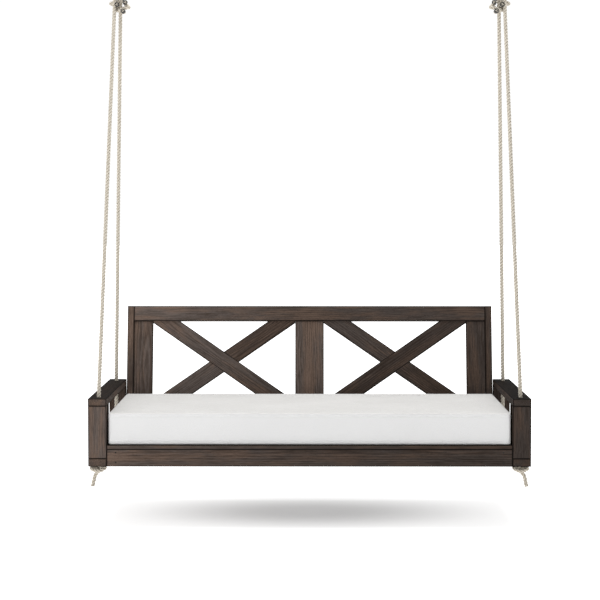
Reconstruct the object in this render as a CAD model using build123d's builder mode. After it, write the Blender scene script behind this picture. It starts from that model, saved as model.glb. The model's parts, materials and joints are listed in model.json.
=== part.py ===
from build123d import *
import math
import os

# A hanging daybed swing: a timber seat frame with a cross-braced back, a mattress cushion and four
# ropes that rise in pairs to a ring and a screw eye on each side.
# Millimetres. X runs along the seat, the front faces -Y, Z is up. The origin is the midpoint of the
# two screw eyes on the underside of the ceiling beam.

# --- Overall sizes -----------------------------------------------------------------------------
inner_width = 1920.0        # between the arms
arm_length = 1075.0         # front to rear
arm_width = 87.0            # of the caps, posts and base boards
arm_height = 322.0          # top of the arm above the underside of the frame
frame_drop = 2432.0         # underside of the beam to underside of the frame
hang_inset = 570.0          # front face of the frame to the hang line, over the centre of mass

# --- Timber --------------------------------------------------------------------------------------
cap_thick = 35.0
base_thick = 38.0
post_thick = 38.0
rope_channel = 60.0         # between the front post and the post behind the rope
rail_height = 82.0
rail_thick = 38.0
joist_thick = 38.0
joist_count = 3
beam_width = 85.0           # end beams along the arms
side_gap = 1.0              # deck frame to the arms
end_gap = 0.3               # butt joints inside the deck frame
deck_thick = 21.0
deck_board_width = 140.0
deck_board_count = 6
wood_ease = 1.6             # rounded arris on every board

# --- Back ------------------------------------------------------------------------------------------
back_lean = 12.0            # degrees from upright
back_rear_inset = 75.0      # rear of the arm to the front face of the back, at the frame's underside
back_height = 717.0         # along the slope
back_gap = 2.0              # to each arm
back_side_thick = 34.0
back_side_depth = 87.0
back_side_foot = 25.0       # lower end of the side boards, along the slope
back_rail_height = 78.0
back_rail_thick = 38.0
back_infill_thick = 30.0    # stiles, centre post and braces
back_window = 434.0         # between the two back rails
end_stile_width = 100.0
centre_post_width = 150.0
brace_width = 87.0
brace_corner_offset = 36.3  # window corner to the middle line of the brace that ends there
rear_rail_gap = 4.0         # rear rail to the foot of the back

# --- Cushion ------------------------------------------------------------------------------------
cushion_side_gap = 7.5      # to each arm
cushion_inset = 12.0        # behind the front face
cushion_overhang = 6.0      # past the rear rail
cushion_height = 150.0
cushion_corner = 30.0
cushion_edge = 12.0
cover_thick = 1.5
foam_clearance = 0.5
zip_end_gap = 102.5         # to each end of the cushion
zip_height = 24.0
zip_thick = 2.5
zip_corner = 6.0

# --- Ropes and ring ----------------------------------------------------------------------------
rope_radius = 8.75
rope_hole_radius = 11.0
front_rope_inset = 80.0     # from the front of the arm
rear_rope_inset = 106.0     # from the rear of the arm
rope_flex_gap = 14.0        # where the rope bends at the top of the arm
ring_inset = 52.0           # hang line of each side, inwards of the middle of the arm
ring_radius = 30.0          # to the middle of the ring's rod
ring_rod = 5.0
eye_radius = 22.0           # to the middle of the eye's rod
eye_rod = 6.0
eye_neck = 8.0
collar_radius = 16.0
collar_thick = 6.0
stud_radius = 6.0
stud_length = 90.0
stud_tip = 12.0
stud_point = 0.5            # radius of the stud's blunt point
ring_clearance = 0.3        # ring on eye
loop_clearance = 1.5        # rope loops round the ring
hitch_drop = 95.0           # middle of the ring's lower rod to the middle of the hitch
hitch_size = (96.0, 58.0, 50.0)
hitch_round = 18.0
hitch_bite = 15.0           # rope inside its hitch
knot_length = 74.0
knot_width = 58.0
knot_height = 28.0
knot_round = 10.0
knot_gap = 0.3
tail_length = 92.0
tail_lean = 14.0            # degrees, outwards

# --- Fasteners ---------------------------------------------------------------------------------
screw_radius = 2.4          # frame and back screws
screw_length = 75.0
screw_head_radius = 3.8
screw_head = 3.0
screw_sink = 1.2            # head below the surface
deck_screw_radius = 2.0
deck_screw_length = 42.0
deck_screw_head_radius = 4.0
deck_screw_head = 2.6
bore_clearance = 0.2
head_clearance = 0.3
screw_tip = 6.0
rail_screw_heights = (19.0, 67.0)
joist_screw_heights = (19.0, 48.0)      # under the tips of the deck screws
post_screw_spread = 50.0
deck_screw_spread = 90.0
beam_screw_shift = 15.0     # deck screws beside the rail screws in the end beams
lag_radius = 4.0
lag_length = 135.0
lag_head_radius = 7.5
lag_head = 5.5
lag_recess = 9.0
lag_front_inset = 170.0
lag_rear_inset = 195.0      # from the rear of the arm
bolt_radius = 5.0
bolt_head_radius = 11.0
bolt_head = 4.5
bolt_dome = 2.5             # rounding of the head
bolt_heights = (58.0, 104.0)
bolt_end = 4.0              # bolt past its nut
rear_post_shift = 9.0       # bolts behind the middle of the rear post, screws ahead of it
nut_radius = 9.8            # across the corners
nut_thick = 8.0
washer_radius = 10.0
washer_thick = 2.0
dowel_radius = 5.0
dowel_length = 50.0
dowel_clearance = 0.1
dowel_in_cap = 20.0         # the rest of the dowel is in the post
post_dowel_spread = 46.0
joist_dowel_heights = (18.0, 46.0)

# --- Worked out from the sizes above -----------------------------------------------------------
inner_half = inner_width / 2
arm_mid = inner_half + arm_width / 2
ring_x = arm_mid - ring_inset
back_foot_inset = arm_length - back_rear_inset
deck_half = inner_half - side_gap
post_height = arm_height - cap_thick - base_thick
rear_rail_inset = back_foot_inset - rear_rail_gap - rail_thick
deck_depth = rear_rail_inset + rail_thick
deck_step = (deck_depth - deck_board_width) / (deck_board_count - 1)
deck_top = rail_height + deck_thick
beam_length = rear_rail_inset - rail_thick - 2 * end_gap
beam_mid = deck_half - beam_width / 2
joist_step = 2 * (deck_half - beam_width) / (joist_count + 1)
back_half = inner_half - back_gap
back_inner = back_half - back_side_thick
stile_inner = back_inner - end_stile_width
window_width = stile_inner - centre_post_width / 2
window_mid = (stile_inner + centre_post_width / 2) / 2
window_top = back_height - back_rail_height
window_bottom = window_top - back_window
window_centre = (window_top + window_bottom) / 2
brace_angle = math.degrees(
    math.atan2(back_window, window_width)
    + math.asin(2 * brace_corner_offset / math.hypot(window_width, back_window))
)
infill_recess = back_rail_thick - back_infill_thick
cushion_length = inner_width - 2 * cushion_side_gap
cushion_depth = deck_depth + cushion_overhang - cushion_inset
zip_length = cushion_length - 2 * zip_end_gap
lag_insets = (
    lag_front_inset,
    (lag_front_inset + arm_length - lag_rear_inset) / 2,
    arm_length - lag_rear_inset,
)
rope_insets = {"front": front_rope_inset, "rear": arm_length - rear_rope_inset}
post_insets = {
    "front_post": post_thick / 2,
    "channel_post": post_thick + rope_channel + post_thick / 2,
    "rear_post": arm_length - post_thick / 2,
}
eye_z = -(collar_thick + eye_neck + eye_radius + eye_rod)
swing_z = eye_z - eye_radius
ring_z = swing_z + eye_rod + ring_clearance + ring_rod - ring_radius
ring_low_z = ring_z - ring_radius
hitch_z = ring_low_z - hitch_drop
loop_radius = ring_rod + loop_clearance + 2 * rope_radius
leg_offset = ring_rod + rope_radius
sides = {"left": -1, "right": 1}


def y_at(inset):
    """Y of a plane this far behind the front of the frame."""
    return inset - hang_inset


def z_at(height):
    """Z of a plane this far above the underside of the frame."""
    return height - frame_drop


back_plane = Plane(
    origin=(0, y_at(back_foot_inset), z_at(0)),
    x_dir=(1, 0, 0),
    z_dir=(0, -math.cos(math.radians(back_lean)), math.sin(math.radians(back_lean))),
)
back_location = back_plane.location


def finish(piece, name):
    """Label the piece and write it."""
    piece.part.label = name
    export_step(piece.part, f"parts/{name}.step")


def ease(piece, *axes):
    """Round the arrises that run along these axes."""
    for axis in axes:
        fillet(piece.edges().filter_by(axis), wood_ease)


def drill(places, radius, depth):
    """Bores along -Z of each place, cut from the piece being built."""
    with Locations(*places):
        Cylinder(radius, depth, align=(Align.CENTER, Align.CENTER, Align.MAX), mode=Mode.SUBTRACT)


def sink_screws(places):
    """Clearance bores with a recess for the head."""
    drill(places, screw_radius + bore_clearance, screw_length + screw_sink)
    drill(places, screw_head_radius + head_clearance, screw_head + screw_sink)


def pilot_screws(places):
    """Bores for the threads of the frame screws."""
    drill(places, screw_radius + bore_clearance, screw_length + screw_sink + bore_clearance)


def screw_group(places, name, radius, length, head_radius, head, sink):
    """Countersunk wood screws, heads set below the surface at each place."""
    with BuildPart() as screw:
        with BuildSketch(Plane.XZ) as half:
            with BuildLine():
                Polyline(
                    (0, -sink),
                    (head_radius, -sink),
                    (head_radius, -sink - head / 3),
                    (radius, -sink - head),
                    (radius, -length + screw_tip),
                    (0, -length),
                    close=True,
                )
            make_face()
        revolve(axis=Axis.Z)
    with BuildPart() as group:
        with Locations(*places):
            add(screw.part)
    finish(group, name)


# --- Where the fasteners go ----------------------------------------------------------------------
joist_xs = [joist_step * (i + 1) - (deck_half - beam_width) for i in range(joist_count)]
beam_xs = [-beam_mid, beam_mid]
front_rail_screws = [
    Location((x, y_at(0), z_at(height)), (90, 0, 0)) for x in beam_xs for height in rail_screw_heights
]
rear_rail_screws = [
    Location((x, y_at(deck_depth), z_at(height)), (-90, 0, 0))
    for xs, heights in ((beam_xs, rail_screw_heights), (joist_xs, joist_screw_heights))
    for x in xs
    for height in heights
]
deck_mids = [deck_board_width / 2 + deck_step * i for i in range(deck_board_count)]
deck_screws = [
    Location((x, y_at(mid + offset), z_at(deck_top)))
    for mid in deck_mids
    for offset in (-deck_screw_spread / 2, deck_screw_spread / 2)
    for x in [beam_screw_shift - beam_mid, *joist_xs, beam_mid - beam_screw_shift]
]
post_screw_insets = dict(post_insets, rear_post=post_insets["rear_post"] - rear_post_shift)
post_screws = {
    side: [
        Location((sign * arm_mid + offset, y_at(inset), z_at(0)), (180, 0, 0))
        for inset in post_screw_insets.values()
        for offset in (-post_screw_spread / 2, post_screw_spread / 2)
    ]
    for side, sign in sides.items()
}
post_dowels = {
    side: [
        Location((sign * arm_mid + offset, y_at(inset), z_at(arm_height - cap_thick + dowel_in_cap)))
        for inset in post_insets.values()
        for offset in (-post_dowel_spread / 2, post_dowel_spread / 2)
    ]
    for side, sign in sides.items()
}
joist_dowels = [
    Location((x, y_at(rail_thick), z_at(height)), (90, 0, 0))
    for x in joist_xs
    for height in joist_dowel_heights
]
side_lags = {
    side: [
        Location(
            (sign * (deck_half - beam_width), y_at(inset), z_at(base_thick / 2)), (0, -90 * sign, 0)
        )
        for inset in lag_insets
    ]
    for side, sign in sides.items()
}
back_bolts = {
    side: [
        Location(
            (
                sign * (inner_half + arm_width),
                y_at(post_insets["rear_post"] + rear_post_shift),
                z_at(height),
            ),
            (0, 90 * sign, 0),
        )
        for height in bolt_heights
    ]
    for side, sign in sides.items()
}
back_rail_mids = (back_height - back_rail_height / 2, window_bottom - back_rail_height / 2)
back_side_screws = [
    back_location
    * Location((sign * back_half, mid + offset, -back_rail_thick / 2), (0, 90 * sign, 0))
    for sign in sides.values()
    for mid in back_rail_mids
    for offset in (-back_rail_height / 4, back_rail_height / 4)
]
stile_xs = {
    "back_end_stile_left": -(stile_inner + end_stile_width / 2),
    "back_centre_post": 0.0,
    "back_end_stile_right": stile_inner + end_stile_width / 2,
}
back_foot_sink = 20.0       # recess that lets the stile screws reach past the bottom rail
back_foot_screws = [
    back_location
    * Location(
        (
            x + offset,
            window_bottom - back_rail_height + back_foot_sink,
            -infill_recess - back_infill_thick / 2,
        ),
        (90, 0, 0),
    )
    for x in stile_xs.values()
    for offset in (-end_stile_width / 4, end_stile_width / 4)
]

os.makedirs("parts", exist_ok=True)

# --- Arms ------------------------------------------------------------------------------------------
for side, sign in sides.items():
    rope_places = [(sign * arm_mid, y_at(inset)) for inset in rope_insets.values()]

    with BuildPart() as arm_cap:
        with BuildSketch(Plane.XY.offset(z_at(arm_height - cap_thick))):
            with Locations((sign * arm_mid, y_at(arm_length / 2))):
                Rectangle(arm_width, arm_length)
        extrude(amount=cap_thick)
        ease(arm_cap, Axis.X, Axis.Y)
        with BuildSketch(Plane.XY.offset(z_at(arm_height))):
            with Locations(*rope_places):
                Circle(rope_hole_radius)
        extrude(amount=-cap_thick, mode=Mode.SUBTRACT)
        drill(post_dowels[side], dowel_radius + dowel_clearance, dowel_length)
    finish(arm_cap, f"arm_cap_{side}")

    for name, inset in post_insets.items():
        with BuildPart() as post:
            with BuildSketch(Plane.XY.offset(z_at(base_thick))):
                with Locations((sign * arm_mid, y_at(inset))):
                    Rectangle(arm_width, post_thick)
            extrude(amount=post_height)
            ease(post, Axis.Z)
            drill(post_dowels[side], dowel_radius + dowel_clearance, dowel_length + dowel_clearance)
            pilot_screws(post_screws[side])
            if name == "rear_post":
                drill(back_bolts[side], bolt_radius + bore_clearance, arm_width)
        finish(post, f"{name}_{side}")

    with BuildPart() as base_board:
        with BuildSketch(Plane.XY.offset(z_at(0))):
            with Locations((sign * arm_mid, y_at(arm_length / 2))):
                Rectangle(arm_width, arm_length)
        extrude(amount=base_thick)
        ease(base_board, Axis.X, Axis.Y)
        with BuildSketch(Plane.XY.offset(z_at(base_thick))):
            with Locations(*rope_places):
                Circle(rope_hole_radius)
        extrude(amount=-base_thick, mode=Mode.SUBTRACT)
        sink_screws(post_screws[side])
        drill(side_lags[side], lag_radius + bore_clearance, lag_length + bore_clearance)
    finish(base_board, f"base_board_{side}")

# --- Deck frame ----------------------------------------------------------------------------------
for name, inset, sunk in (
    ("front_rail", 0, front_rail_screws),
    ("rear_rail", rear_rail_inset, rear_rail_screws),
):
    with BuildPart() as rail:
        with BuildSketch(Plane.XY.offset(z_at(0))):
            with Locations((0, y_at(inset + rail_thick / 2))):
                Rectangle(2 * deck_half, rail_thick)
        extrude(amount=rail_height)
        ease(rail, Axis.X)
        sink_screws(sunk)
        drill(deck_screws, deck_screw_radius + bore_clearance, deck_screw_length + bore_clearance)
        if name == "front_rail":
            with Locations(*joist_dowels):
                Cylinder(
                    dowel_radius + dowel_clearance,
                    dowel_length + 2 * dowel_clearance,
                    mode=Mode.SUBTRACT,
                )
    finish(rail, name)

crosswise = [("joist_%d" % (i + 1), x, joist_thick) for i, x in enumerate(joist_xs)]
crosswise += [("end_beam_left", beam_xs[0], beam_width), ("end_beam_right", beam_xs[1], beam_width)]
for name, x, width in crosswise:
    with BuildPart() as joist:
        with BuildSketch(Plane.XY.offset(z_at(0))):
            with Locations((x, y_at(rail_thick + end_gap + beam_length / 2))):
                Rectangle(width, beam_length)
        extrude(amount=rail_height)
        ease(joist, Axis.Y)
        pilot_screws(front_rail_screws + rear_rail_screws)
        drill(deck_screws, deck_screw_radius + bore_clearance, deck_screw_length + bore_clearance)
        with Locations(*joist_dowels):
            Cylinder(
                dowel_radius + dowel_clearance,
                dowel_length + 2 * dowel_clearance,
                mode=Mode.SUBTRACT,
            )
        for side in sides:
            if name == f"end_beam_{side}":
                drill(side_lags[side], lag_radius + bore_clearance, lag_length)
                drill(side_lags[side], lag_head_radius + head_clearance, lag_recess)
    finish(joist, name)

for i, mid in enumerate(deck_mids):
    with BuildPart() as deck_board:
        with BuildSketch(Plane.XY.offset(z_at(rail_height))):
            with Locations((0, y_at(mid))):
                Rectangle(2 * deck_half, deck_board_width)
        extrude(amount=deck_thick)
        ease(deck_board, Axis.X)
        drill(deck_screws, deck_screw_radius + bore_clearance, deck_screw_length)
        drill(deck_screws, deck_screw_head_radius + head_clearance, deck_screw_head + screw_sink)
    finish(deck_board, f"deck_board_{i + 1}")

# --- Back ------------------------------------------------------------------------------------------
for side, sign in sides.items():
    with BuildPart() as side_board:
        with BuildSketch(back_plane):
            with Locations(
                (sign * (back_half - back_side_thick / 2), (back_height + back_side_foot) / 2)
            ):
                Rectangle(back_side_thick, back_height - back_side_foot)
        extrude(amount=-back_side_depth)
        long_edges = side_board.edges().filter_by(lambda e: e.length > back_height / 2)
        fillet(long_edges, wood_ease)
        sink_screws(back_side_screws)
        drill(back_bolts[side], bolt_radius + bore_clearance, arm_width + 2 * back_side_thick)
    finish(side_board, f"back_side_board_{side}")

for name, mid in zip(("back_top_rail", "back_bottom_rail"), back_rail_mids):
    with BuildPart() as back_rail:
        with BuildSketch(back_plane):
            with Locations((0, mid)):
                Rectangle(2 * back_inner - 2 * end_gap, back_rail_height)
        extrude(amount=-back_rail_thick)
        ease(back_rail, Axis.X)
        pilot_screws(back_side_screws)
        if name == "back_bottom_rail":
            drill(back_foot_screws, screw_radius + bore_clearance, back_rail_height)
            with Locations(*back_foot_screws):
                Cylinder(
                    screw_head_radius + head_clearance,
                    back_foot_sink + screw_head + screw_sink,
                    align=(Align.CENTER, Align.CENTER, Align.MIN),
                    mode=Mode.SUBTRACT,
                )
            drill(back_foot_screws, screw_head_radius + head_clearance, screw_head + screw_sink)
    finish(back_rail, name)

infill_plane = back_plane.offset(-infill_recess)
for name, x in stile_xs.items():
    width = centre_post_width if name == "back_centre_post" else end_stile_width
    with BuildPart() as stile:
        with BuildSketch(infill_plane):
            with Locations((x, window_centre)):
                Rectangle(width, back_window - 2 * end_gap)
        extrude(amount=-back_infill_thick)
        long_edges = stile.edges().filter_by(lambda e: e.length > back_window / 2)
        fillet(long_edges, wood_ease)
        pilot_screws(back_foot_screws)
    finish(stile, name)

brace_reach = 2 * window_width      # longer than any brace; the window trims it
for side, sign in sides.items():
    middle = (sign * window_mid, window_centre)
    fall = sign * brace_angle       # the whole brace falls from the outer top corner
    for name, half in (("long_brace", 0), ("upper_short_brace", 1), ("lower_short_brace", -1)):
        with BuildPart() as brace:
            with BuildSketch(infill_plane):
                with Locations(middle):
                    Rectangle(brace_reach, brace_width, rotation=fall if half == 0 else -fall)
                    if half:
                        Rectangle(
                            brace_reach,
                            brace_width + 2 * end_gap,
                            rotation=fall,
                            mode=Mode.SUBTRACT,
                        )
                with Locations((middle[0], middle[1] + half * back_window / 4)):
                    Rectangle(
                        window_width - 2 * end_gap,
                        (back_window / 2 if half else back_window) - 2 * end_gap * (half == 0),
                        mode=Mode.INTERSECT,
                    )
                with Locations(middle):
                    Rectangle(
                        window_width - 2 * end_gap, back_window - 2 * end_gap, mode=Mode.INTERSECT
                    )
            extrude(amount=-back_infill_thick)
            rims = brace.faces().filter_by(infill_plane).edges()
            fillet(rims.filter_by(lambda e: e.length > 2 * brace_width), wood_ease)
        finish(brace, f"{name}_{side}")

# --- Cushion -------------------------------------------------------------------------------------


def pad_block(shrink, corner, edge):
    """A box with rounded corners and edges, this much smaller than the cushion on every side."""
    with BuildPart() as block:
        with BuildSketch(Plane.XY.offset(z_at(deck_top) + shrink)):
            with Locations((0, y_at(cushion_inset + cushion_depth / 2))):
                RectangleRounded(cushion_length - 2 * shrink, cushion_depth - 2 * shrink, corner)
        extrude(amount=cushion_height - 2 * shrink)
        rims = block.faces().sort_by(Axis.Z)
        fillet(rims[0].edges() + rims[-1].edges(), edge)
    return block


foam_shrink = cover_thick + foam_clearance
outer_block = pad_block(0, cushion_corner, cushion_edge)
inner_block = pad_block(cover_thick, cushion_corner - cover_thick, cushion_edge - cover_thick)
cushion_foam = pad_block(foam_shrink, cushion_corner - foam_shrink, cushion_edge - foam_shrink)
finish(cushion_foam, "cushion_foam")

with BuildPart() as cushion_cover:
    add(outer_block.part)
    add(inner_block.part, mode=Mode.SUBTRACT)
finish(cushion_cover, "cushion_cover")

with BuildPart() as cushion_zip:
    with BuildSketch(Plane.XZ.offset(-y_at(cushion_inset + cushion_depth))):
        with Locations((0, z_at(deck_top + cushion_height / 2))):
            RectangleRounded(zip_length, zip_height, zip_corner)
    extrude(amount=-zip_thick)
finish(cushion_zip, "cushion_zip")

# --- Ropes ---------------------------------------------------------------------------------------


def rope_tube(low, high):
    """A straight round rope between two points."""
    run = Vector(*high) - Vector(*low)
    with BuildPart() as tube:
        with BuildSketch(Plane(origin=low, z_dir=run.normalized())):
            Circle(rope_radius)
        extrude(amount=run.length)
    return tube, run.length


for side, sign in sides.items():
    for place, inset in rope_insets.items():
        # The front rope lies on the outer side of the ring, the rear rope on the inner side.
        outward = 1 if place == "front" else -1
        low = (sign * arm_mid, y_at(inset), z_at(arm_height) + rope_flex_gap)
        high = (
            sign * (ring_x + outward * leg_offset),
            -outward * rope_radius,
            hitch_z - hitch_size[2] / 2 + hitch_bite,
        )
        rope, length = rope_tube(low, high)
        finish(rope, f"rope_{place}_{side}")
        section = math.pi * rope_radius**2
        print(f"rope_{place}_{side}: {length:.1f} mm, volume / (section x length) =",
              round(rope.part.volume / (section * length), 5))

        with BuildPart() as rope_end:
            with BuildSketch(Plane.XY.offset(z_at(-knot_gap))):
                with Locations((sign * arm_mid, y_at(inset))):
                    SlotOverall(knot_length, knot_width)
            extrude(amount=-knot_height)
            fillet(rope_end.faces().filter_by(Plane.XY).edges(), knot_round)
            with BuildSketch(Plane.XY.offset(z_at(arm_height))):
                with Locations((sign * arm_mid, y_at(inset))):
                    Circle(rope_radius)
            extrude(amount=-(arm_height + knot_gap + knot_height / 2))
            tail_plane = Plane(
                origin=(sign * arm_mid, y_at(inset), z_at(-knot_gap - knot_height / 2)),
                z_dir=(
                    sign * math.sin(math.radians(tail_lean)),
                    0,
                    -math.cos(math.radians(tail_lean)),
                ),
            )
            with BuildSketch(tail_plane):
                Circle(rope_radius)
            extrude(amount=tail_length)
        finish(rope_end, f"rope_end_{place}_{side}")

    with BuildPart() as hitch:
        with BuildSketch(Plane.XZ):
            with Locations((sign * ring_x, ring_low_z - hitch_drop / 2)):
                SlotOverall(hitch_drop + 2 * loop_radius, 2 * loop_radius, rotation=90)
        extrude(amount=2 * rope_radius, both=True)
        with Locations((sign * ring_x, 0, hitch_z)):
            cluster = Box(*hitch_size)
        fillet(cluster.edges().filter_by(Axis.Z), hitch_round)
        with Locations(Location((sign * ring_x, 0, ring_z), (0, 90, 0))):
            Torus(ring_radius, ring_rod + loop_clearance, mode=Mode.SUBTRACT)
    finish(hitch, f"rope_hitch_{side}")

    with BuildPart() as hanging_ring:
        with Locations(Location((sign * ring_x, 0, ring_z), (0, 90, 0))):
            Torus(ring_radius, ring_rod)
    finish(hanging_ring, f"hanging_ring_{side}")

    with BuildPart() as eye_screw:
        with Locations(Location((sign * ring_x, 0, eye_z), (90, 0, 0))):
            Torus(eye_radius, eye_rod)
        with BuildSketch(Plane.XY.offset(-collar_thick - eye_neck - eye_rod)):
            with Locations((sign * ring_x, 0)):
                Circle(stud_radius)
        extrude(amount=collar_thick + eye_neck + eye_rod + stud_length - stud_tip)
        with BuildSketch(Plane.XY.offset(-collar_thick)):
            with Locations((sign * ring_x, 0)):
                Circle(collar_radius)
        extrude(amount=collar_thick)
        with Locations((sign * ring_x, 0, stud_length - stud_tip)):
            Cone(stud_radius, stud_point, stud_tip, align=(Align.CENTER, Align.CENTER, Align.MIN))
    finish(eye_screw, f"eye_screw_{side}")

# --- Fasteners -------------------------------------------------------------------------------------
frame_places = front_rail_screws + rear_rail_screws + post_screws["left"] + post_screws["right"]
screw_shape = (screw_radius, screw_length, screw_head_radius, screw_head, screw_sink)
deck_shape = (deck_screw_radius, deck_screw_length, deck_screw_head_radius, deck_screw_head, screw_sink)
screw_group(frame_places, "frame_screws", *screw_shape)
screw_group(back_side_screws + back_foot_screws, "back_screws", *screw_shape)
screw_group(deck_screws, "deck_screws", *deck_shape)

with BuildPart() as lags:
    for side in sides:
        with Locations(*side_lags[side]):
            Cylinder(lag_radius, lag_length, align=(Align.CENTER, Align.CENTER, Align.MAX))
        for place in side_lags[side]:
            with BuildSketch(Plane(place).offset(-lag_recess)):
                RegularPolygon(lag_head_radius, 6)
            extrude(amount=lag_head)
finish(lags, "side_lags")

bolt_reach = arm_width + back_gap + back_side_thick
with BuildPart() as bolts:
    for side in sides:
        with Locations(*back_bolts[side]):
            Cylinder(
                bolt_radius,
                bolt_reach + washer_thick + nut_thick + bolt_end,
                align=(Align.CENTER, Align.CENTER, Align.MAX),
            )
            Cylinder(bolt_head_radius, bolt_head, align=(Align.CENTER, Align.CENTER, Align.MIN))
    heads = bolts.faces().sort_by(Axis.X)
    fillet(heads[0].edges() + heads[-1].edges(), bolt_dome)
finish(bolts, "back_bolts")

with BuildPart() as nuts:
    for side in sides:
        for place in back_bolts[side]:
            with BuildSketch(Plane(place).offset(-bolt_reach)):
                Circle(washer_radius)
                Circle(bolt_radius + dowel_clearance, mode=Mode.SUBTRACT)
            extrude(amount=-washer_thick)
            with BuildSketch(Plane(place).offset(-bolt_reach - washer_thick)):
                RegularPolygon(nut_radius, 6)
                Circle(bolt_radius + dowel_clearance, mode=Mode.SUBTRACT)
            extrude(amount=-nut_thick)
finish(nuts, "back_bolt_nuts")

with BuildPart() as dowels:
    for side in sides:
        with Locations(*post_dowels[side]):
            Cylinder(dowel_radius, dowel_length, align=(Align.CENTER, Align.CENTER, Align.MAX))
    with Locations(*joist_dowels):
        Cylinder(dowel_radius, dowel_length)
finish(dowels, "dowels")
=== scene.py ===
# %% [markdown]
# A hanging daybed swing: a dark timber frame with a cross-braced back, a mattress cushion and four
# laid ropes that rise in pairs to a ring on each side. The measured model is loaded first and
# is never moved. Everything below either gives its boards a finish or builds a softer or finer
# piece in the place that the model keeps for it.

# %% Load the measured model
import json
import math

import bmesh
import bpy
import numpy as np
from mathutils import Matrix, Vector


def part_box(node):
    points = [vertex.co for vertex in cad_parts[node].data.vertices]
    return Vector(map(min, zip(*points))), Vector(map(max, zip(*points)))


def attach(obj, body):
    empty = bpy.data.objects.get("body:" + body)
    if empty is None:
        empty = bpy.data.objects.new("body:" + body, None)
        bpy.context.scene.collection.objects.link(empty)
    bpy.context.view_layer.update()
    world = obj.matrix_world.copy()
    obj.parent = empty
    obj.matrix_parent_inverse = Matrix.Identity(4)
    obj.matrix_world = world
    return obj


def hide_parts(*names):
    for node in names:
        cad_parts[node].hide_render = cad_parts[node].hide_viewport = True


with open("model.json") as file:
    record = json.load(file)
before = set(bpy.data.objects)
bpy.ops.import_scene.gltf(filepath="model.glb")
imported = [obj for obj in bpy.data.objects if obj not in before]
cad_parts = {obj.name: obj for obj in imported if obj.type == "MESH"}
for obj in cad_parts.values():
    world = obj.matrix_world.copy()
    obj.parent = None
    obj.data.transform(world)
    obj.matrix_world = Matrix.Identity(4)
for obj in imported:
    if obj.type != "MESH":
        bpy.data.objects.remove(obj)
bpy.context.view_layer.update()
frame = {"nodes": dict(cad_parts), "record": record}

scene = bpy.context.scene
SIDES = {"left": -1, "right": 1}

# %% [markdown]
# The swing is seen from straight ahead, a little above the arms, through a long lens. The camera
# comes first, because the ropes may only run a short way past the top of its view.

# %% Camera
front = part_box("front_rail")[0].y
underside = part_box("base_board_left")[0].z
arm_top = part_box("arm_cap_left")[1].z
floor_gap = 0.30            # the frame hangs this far above the floor
lens = 122.5
back_off = 9.6              # from the front rail to the camera
eye_height = 0.938          # above the arms
floor_z = underside - floor_gap

camera_data = bpy.data.cameras.new("camera")
camera_data.sensor_width = 36.0
camera_data.lens = lens
camera = bpy.data.objects.new("camera", camera_data)
camera.location = (0.0, front - back_off, arm_top + eye_height)
pitch_down = math.radians(2.808)
turn_left = math.radians(0.268)
camera.rotation_euler = (math.pi / 2 - pitch_down, 0.0, turn_left)
scene.collection.objects.link(camera)
scene.camera = camera
scene.view_settings.view_transform = "Standard"
scene.cycles.denoising_prefilter = "NONE"   # keeps the fine lay of the ropes
print("camera", [round(x, 3) for x in camera.location], "lens", lens)

# %% [markdown]
# Patterns such as grain and weave are arithmetic on coordinates. In the node editor that is a web
# of Math nodes, so this class lets the arithmetic be written as arithmetic: each operator adds the
# node it stands for. Colours and vectors have their own nodes, because a Math node would turn
# them into one grey number.

# %% Shader arithmetic


class Value:
    """One output of a shader node, with Python's operators."""

    def __init__(self, finish, socket):
        self.finish, self.socket = finish, socket

    def _math(self, operation, a, b):
        return self.finish.node("Math", {"operation": operation}, {0: a, 1: b})

    def __add__(self, other):
        return self._math("ADD", self, other)

    def __sub__(self, other):
        return self._math("SUBTRACT", self, other)

    def __mul__(self, other):
        return self._math("MULTIPLY", self, other)

    def __truediv__(self, other):
        return self._math("DIVIDE", self, other)

    __radd__, __rmul__ = __add__, __mul__


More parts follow.
